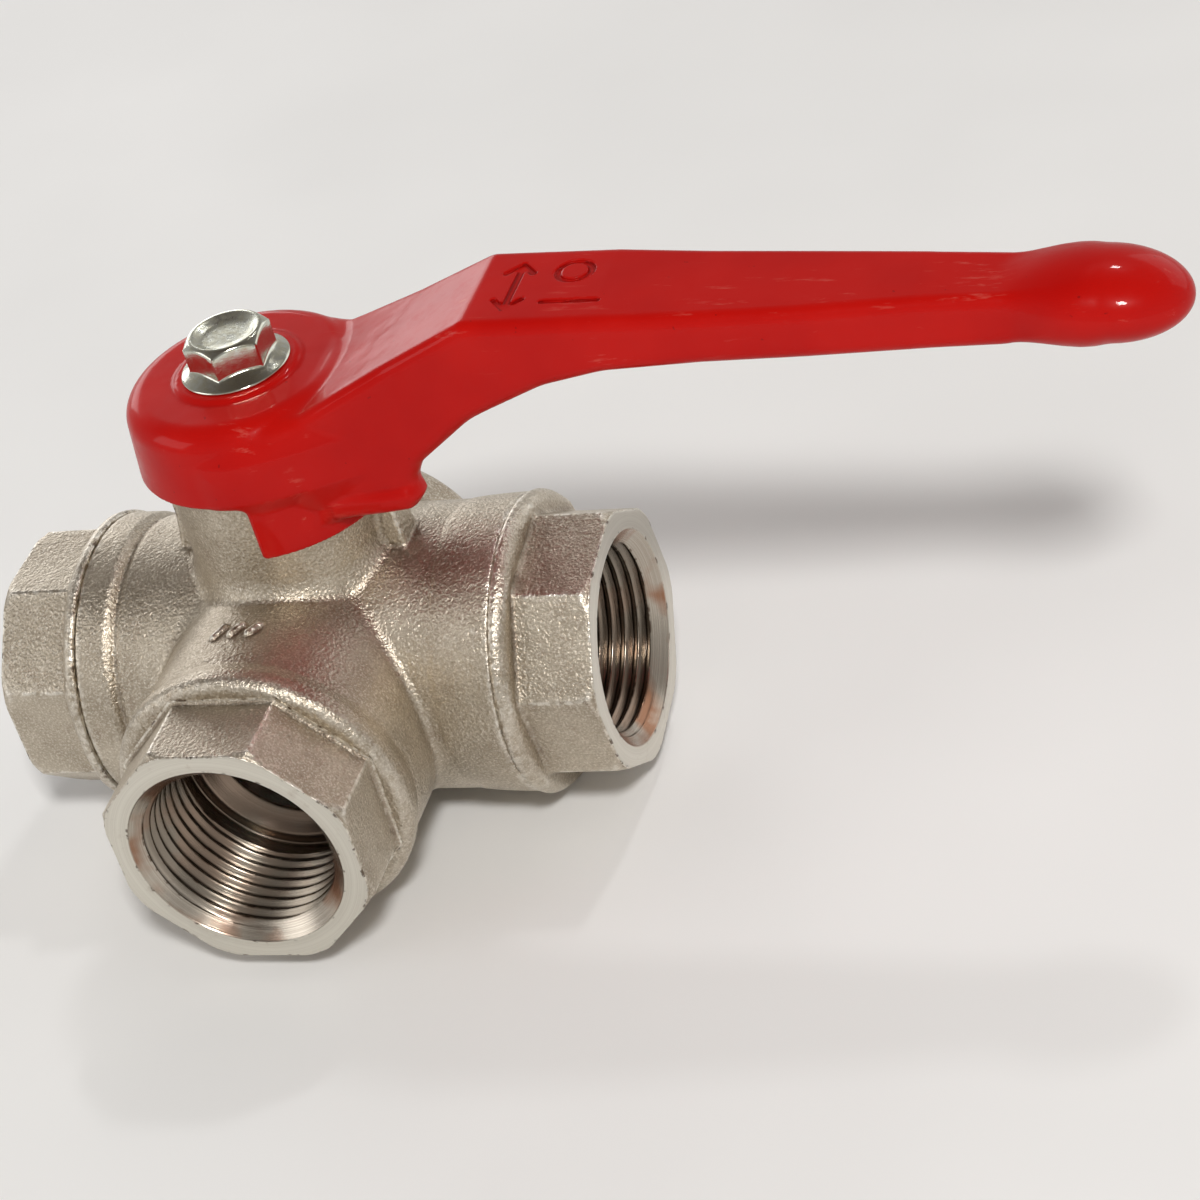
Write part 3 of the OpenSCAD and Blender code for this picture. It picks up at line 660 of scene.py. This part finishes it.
def nickel(name):
    """Nickel plate over a sand-blasted casting, with turned faces and threads where finish says so."""
    m = Paint(name, Metallic=1.0)
    finish, curve = m.fact("finish"), m.fact("curve")
    turned = m.remap(finish, 0.35, 0.65)
    cut_thread = m.remap(finish, 1.2, 1.7)
    grain, coarse = m.noise(0.30, 2.5, 0.6), m.noise(0.9, 3.0)
    patch, stain = m.noise(9.0, 3.0), m.noise(3.2, 4.0, 0.65)
    colour = m.blend(m.remap(patch, 0.36, 0.64), (0.42, 0.36, 0.28), (0.55, 0.485, 0.39))
    colour = m.blend(m.math("MULTIPLY", m.remap(stain, 0.56, 0.74), 0.45), colour, (0.26, 0.185, 0.13))
    colour = m.blend(m.math("MULTIPLY", m.remap(grain, 0.50, 0.68), 0.55), colour, (0.86, 0.81, 0.72))
    colour = m.blend(m.math("MULTIPLY", m.remap(grain, 0.44, 0.30), 0.30), colour, (0.22, 0.18, 0.14))
    rub = m.math("MULTIPLY", m.remap(curve, 0.12, 0.7), m.remap(coarse, 0.40, 0.58))
    colour = m.blend(m.math("MULTIPLY", rub, 0.75), colour, (0.88, 0.84, 0.76))
    nicks = m.math("MULTIPLY", m.remap(curve, 0.5, 1.0), m.remap(m.noise(1.6, 3.0, 0.6), 0.57, 0.63))
    # darker brown in the concave creases, where the stain noise is high
    crease_dark = m.math("MULTIPLY", m.remap(curve, -0.10, -0.65), m.remap(stain, 0.30, 0.62))
    colour = m.blend(m.math("MULTIPLY", crease_dark, 0.6), colour, (0.13, 0.085, 0.055))
    rings = m.node("ShaderNodeCombineXYZ", {"X": m.fact("radius"), "Y": m.fact("along")}).outputs[0]
    lines = m.node("ShaderNodeTexNoise", {"Vector": rings, "Scale": 9.0, "Detail": 3.0}).outputs["Fac"]
    smooth = m.blend(m.remap(lines, 0.35, 0.65), (0.64, 0.605, 0.53), (0.72, 0.69, 0.61))
    smooth = m.blend(m.math("MULTIPLY", m.remap(stain, 0.60, 0.74), 0.35), smooth, (0.36, 0.27, 0.20))
    # painted shade: the thread and everything deeper than about 2 mm inside the face made darker
    painted_bore_shade = m.remap(m.fact("along"), 39.9, 39.4)
    bright = m.blend(m.remap(lines, 0.3, 0.7), (0.36, 0.315, 0.26), (0.54, 0.49, 0.42))
    bright = m.blend(m.math("MULTIPLY", painted_bore_shade, 0.75), bright, (0.20, 0.17, 0.135))
    # partly tarnish in patches, partly painted brown reflection, strongest towards the mouth
    tarnish_and_painted_reflection = m.math("MULTIPLY", m.remap(patch, 0.42, 0.55), m.remap(m.fact("along"), 38.5, 39.8, 0.25, 0.9))
    bright = m.blend(tarnish_and_painted_reflection, bright, (0.30, 0.14, 0.075))
    # painted shade: near black in the thread's roots and the bore's inner corners
    bright = m.blend(m.math("MULTIPLY", m.remap(curve, -0.4, -1.5), 0.85), bright, (0.05, 0.035, 0.025))
    colour = m.blend(turned, colour, smooth)
    colour = m.blend(cut_thread, colour, bright)
    colour = m.blend(m.math("MULTIPLY", nicks, 0.8), colour, (0.09, 0.055, 0.035))
    cast_rough = m.remap(coarse, 0.3, 0.7, 0.35, 0.47)
    cast_rough = m.math("SUBTRACT", cast_rough, m.math("MULTIPLY", rub, 0.12))
    rough = m.node("ShaderNodeMix", {"Factor": turned, "A": cast_rough, "B": 0.28}).outputs[0]
    rough = m.node("ShaderNodeMix", {"Factor": cut_thread, "A": rough, "B": 0.27}).outputs[0]
    height = m.math("ADD", m.math("MULTIPLY", grain, 0.65), m.math("MULTIPLY", coarse, 0.55))
    height = m.math("ADD", height, m.math("MULTIPLY", m.cells(0.5), 0.45))
    turned_height = m.math("MULTIPLY", lines, 0.10)
    height = m.node("ShaderNodeMix", {"Factor": turned, "A": height, "B": turned_height}).outputs[0]
    return m.use(Base_Color=colour, Roughness=rough, Normal=m.bump(height, 0.16, 1.0))


def enamel():
    """Glossy red enamel on a die casting."""
    m = Paint("red_enamel", Roughness=0.32, Coat_Weight=0.22, Coat_Roughness=0.06, Coat_IOR=1.5)
    m.shader.inputs["Specular IOR Level"].default_value = 0.04
    curve = m.fact("curve")
    wide, fine, scuff = m.noise(14.0, 2.0), m.noise(0.25, 2.0), m.noise(2.2, 5.0, 0.7)
    colour = m.blend(m.remap(wide, 0.35, 0.65), (0.42, 0.0036, 0.0025), (0.48, 0.0058, 0.0036))
    # painted shade: darker red in the lever's concave corners
    colour = m.blend(m.math("MULTIPLY", m.remap(curve, -0.15, -1.0), 0.75), colour, (0.20, 0.002, 0.002))
    streaks = m.noise(1.5, 5.0, 0.7, stretch=(0.15, 1.0, 1.0))
    dust = m.math("MULTIPLY", m.remap(streaks, 0.60, 0.72), m.remap(wide, 0.48, 0.60))
    colour = m.blend(m.math("MULTIPLY", dust, 0.5), colour, (0.60, 0.13, 0.10))
    chips = m.remap(m.noise(1.3, 2.0, 0.6), 0.73, 0.76)
    colour = m.blend(m.math("MULTIPLY", chips, 0.6), colour, (0.16, 0.004, 0.004))
    rough = m.math("ADD", m.remap(scuff, 0.45, 0.75, 0.28, 0.44), m.math("MULTIPLY", dust, 0.15))
    peel = m.math("ADD", m.noise(3.0, 1.0), m.math("MULTIPLY", fine, 0.05))
    coat = m.bump(m.math("ADD", m.noise(6.0, 1.5), m.math("MULTIPLY", m.noise(1.6, 1.0), 0.10)), 0.08, 0.30)
    return m.use(Base_Color=colour, Roughness=rough, Normal=m.bump(peel, 0.06, 0.6), Coat_Normal=coat)


def zinc():
    """Bright zinc plate with a yellow cast, matt in the head's dish."""
    m = Paint("bright_zinc", Metallic=1.0)
    dish = m.fact("dish")
    fine, mid = m.noise(0.22, 3.0, 0.65), m.noise(0.9, 4.0, 0.6)
    colour = m.blend(m.remap(mid, 0.35, 0.66), (0.62, 0.64, 0.58), (0.56, 0.545, 0.43))
    specks = m.math("MULTIPLY", m.remap(fine, 0.56, 0.72), m.remap(dish, 0, 1, 0.25, 0.8))
    colour = m.blend(specks, colour, (0.36, 0.34, 0.27))
    rough = m.math("ADD", m.remap(mid, 0.35, 0.65, 0.10, 0.20), m.math("MULTIPLY", dish, 0.16))
    height = m.math("ADD", fine, m.math("MULTIPLY", mid, 1.5))
    height = m.math("MULTIPLY", height, m.remap(dish, 0, 1, 0.35, 1.0))
    return m.use(Base_Color=colour, Roughness=rough, Normal=m.bump(height, 0.03, 0.7))


def turned_brass():
    m = Paint("turned_brass", Metallic=1.0)
    lines = m.noise(0.5, 3.0, 0.6, stretch=(0.15, 0.15, 1.0))
    colour = m.blend(m.remap(lines, 0.35, 0.65), (0.62, 0.44, 0.19), (0.74, 0.56, 0.29))
    rough = m.remap(m.noise(2.0), 0.3, 0.7, 0.2, 0.34)
    return m.use(Base_Color=colour, Roughness=rough, Normal=m.bump(lines, 0.01, 0.6))


def polished_chrome():
    m = Paint("polished_chrome", Metallic=1.0)
    colour = m.blend(m.remap(m.noise(6.0), 0.35, 0.65), (0.70, 0.70, 0.70), (0.80, 0.80, 0.81))
    rough = m.remap(m.noise(1.2, 5.0, 0.7), 0.45, 0.72, 0.05, 0.16)
    return m.use(Base_Color=colour, Roughness=rough, Normal=m.bump(m.noise(0.3, 2.0), 0.002, 0.4))


def white_ptfe():
    m = Paint("white_ptfe", Subsurface_Weight=0.2, Subsurface_Scale=0.001)
    colour = m.blend(m.remap(m.noise(2.5, 3.0), 0.35, 0.65), (0.80, 0.79, 0.74), (0.88, 0.87, 0.83))
    rough = m.remap(m.noise(0.8), 0.3, 0.7, 0.36, 0.5)
    return m.use(Base_Color=colour, Roughness=rough, Normal=m.bump(m.noise(0.3), 0.01, 0.4))


def black_rubber():
    m = Paint("black_rubber")
    colour = m.blend(m.remap(m.noise(0.6, 3.0), 0.3, 0.7), (0.010, 0.010, 0.011), (0.028, 0.027, 0.026))
    rough = m.remap(m.noise(0.4), 0.3, 0.7, 0.4, 0.6)
    return m.use(Base_Color=colour, Roughness=rough, Normal=m.bump(m.noise(0.2), 0.01, 0.5))


plate = nickel("nickel_plate")
port_end("port_front", FRONT, 0.0, False, [], plate)
port_end("cap_right", RIGHT, math.radians(11), True, ["end_cap_right"], plate)
port_end("cap_left", LEFT, 0.0, True, ["end_cap_left"], plate)
build_body(plate)
build_lever(enamel())
build_bolt(zinc())

brass, chrome, ptfe, rubber = turned_brass(), polished_chrome(), white_ptfe(), black_rubber()
CARRIED = {brass: ["stem", "gland_nut"], chrome: ["ball"], rubber: ["stem_oring_lower", "stem_oring_upper"],
           ptfe: ["seat_left", "seat_right", "seat_front", "seat_rear", "cap_seal_left", "cap_seal_right",
                  "thrust_washer", "packing_ring"]}
for material, nodes in CARRIED.items():
    for node in nodes:
        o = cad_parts[node]
        o.data.materials.clear()
        o.data.materials.append(material)

# ---------------------------------------------------------------- floor, light and camera


def sheet_mesh(name, corners, material):
    """A flat sheet, not attached to any of the object's bodies."""
    me = bpy.data.meshes.new(name)
    me.from_pydata([Vector(c) for c in corners], [], [list(range(len(corners)))])
    me.materials.append(material)
    o = bpy.data.objects.new(name, me)
    bpy.context.scene.collection.objects.link(o)
    return o


pale = Paint("floor_pale", Roughness=0.6)
clouds = pale.remap(pale.noise(60.0, 2.0), 0.3, 0.7)
pale.use(Base_Color=pale.blend(clouds, (0.86, 0.86, 0.855), (0.90, 0.90, 0.895)))
FLOOR_Z, FLOOR_HALF = -0.0199, 3  # just under the body, in metres
corners = ((-1, -1), (1, -1), (1, 1), (-1, 1))
sheet_mesh("floor", [(x * FLOOR_HALF, y * FLOOR_HALF, FLOOR_Z) for x, y in corners], pale.material)


def soft_light(name, place, target, size, watts, colour=(1, 1, 1)):
    """A rectangular lamp that faces the target."""
    data = bpy.data.lights.new(name, "AREA")
    data.shape = "RECTANGLE"
    data.size, data.size_y = size
    data.energy = watts
    data.color = colour
    o = bpy.data.objects.new(name, data)
    o.location = place
    o.rotation_euler = (Vector(target) - Vector(place)).to_track_quat("-Z", "Y").to_euler()
    bpy.context.scene.collection.objects.link(o)


CENTRE = (0.03, 0, 0.02)
soft_light("window_back_left", (-0.75, 0.85, 0.30), CENTRE, (0.7, 0.4), 2.6)
soft_light("window_back_right", (0.65, 0.85, 0.40), CENTRE, (1.0, 0.6), 1.6)
soft_light("key_front", (0.45, -0.70, 0.95), CENTRE, (0.16, 0.16), 9.0, (1.0, 0.985, 0.96))
soft_light("lamp_top", (0.18, 0.63, 0.95), CENTRE, (0.07, 0.07), 1.2)
soft_light("fill_left", (-0.9, -0.5, 0.5), CENTRE, (0.7, 0.5), 2.2)

world = bpy.data.worlds.new("studio")
bpy.context.scene.world = world
world.use_nodes = True
tree = world.node_tree
place = tree.nodes.new("ShaderNodeTexCoord")
split = tree.nodes.new("ShaderNodeSeparateXYZ")
ramp = tree.nodes.new("ShaderNodeValToRGB")
tree.links.new(place.outputs["Generated"], split.inputs[0])
tree.links.new(split.outputs["Z"], ramp.inputs[0])
tree.links.new(ramp.outputs[0], tree.nodes["Background"].inputs["Color"])
horizon, zenith = ramp.color_ramp.elements
horizon.position, horizon.color = 0.0, (1.0, 0.98, 0.95, 1)
zenith.position, zenith.color = 1.0, (0.15, 0.12, 0.10, 1)
tree.nodes["Background"].inputs["Strength"].default_value = 0.6

# The camera's place and its axes, worked out from the ports' circles and the octagons' edges
camera_data = bpy.data.cameras.new("camera")
camera_data.sensor_width = 36.0
camera_data.lens = 94.41
camera_data.clip_start, camera_data.clip_end = 0.01, 20
camera = bpy.data.objects.new("camera", camera_data)
right = Vector((0.93972, 0.24677, -0.23671))
up = Vector((0.03692, 0.61496, 0.78769))
back = Vector((0.33995, -0.74895, 0.56878))
turn = Matrix((right, up, back)).transposed().to_4x4()
camera.matrix_world = Matrix.Translation(Vector((0.175113, -0.301108, 0.234917))) @ turn
bpy.context.scene.collection.objects.link(camera)
bpy.context.scene.camera = camera
bpy.context.scene.view_settings.view_transform = "Standard"
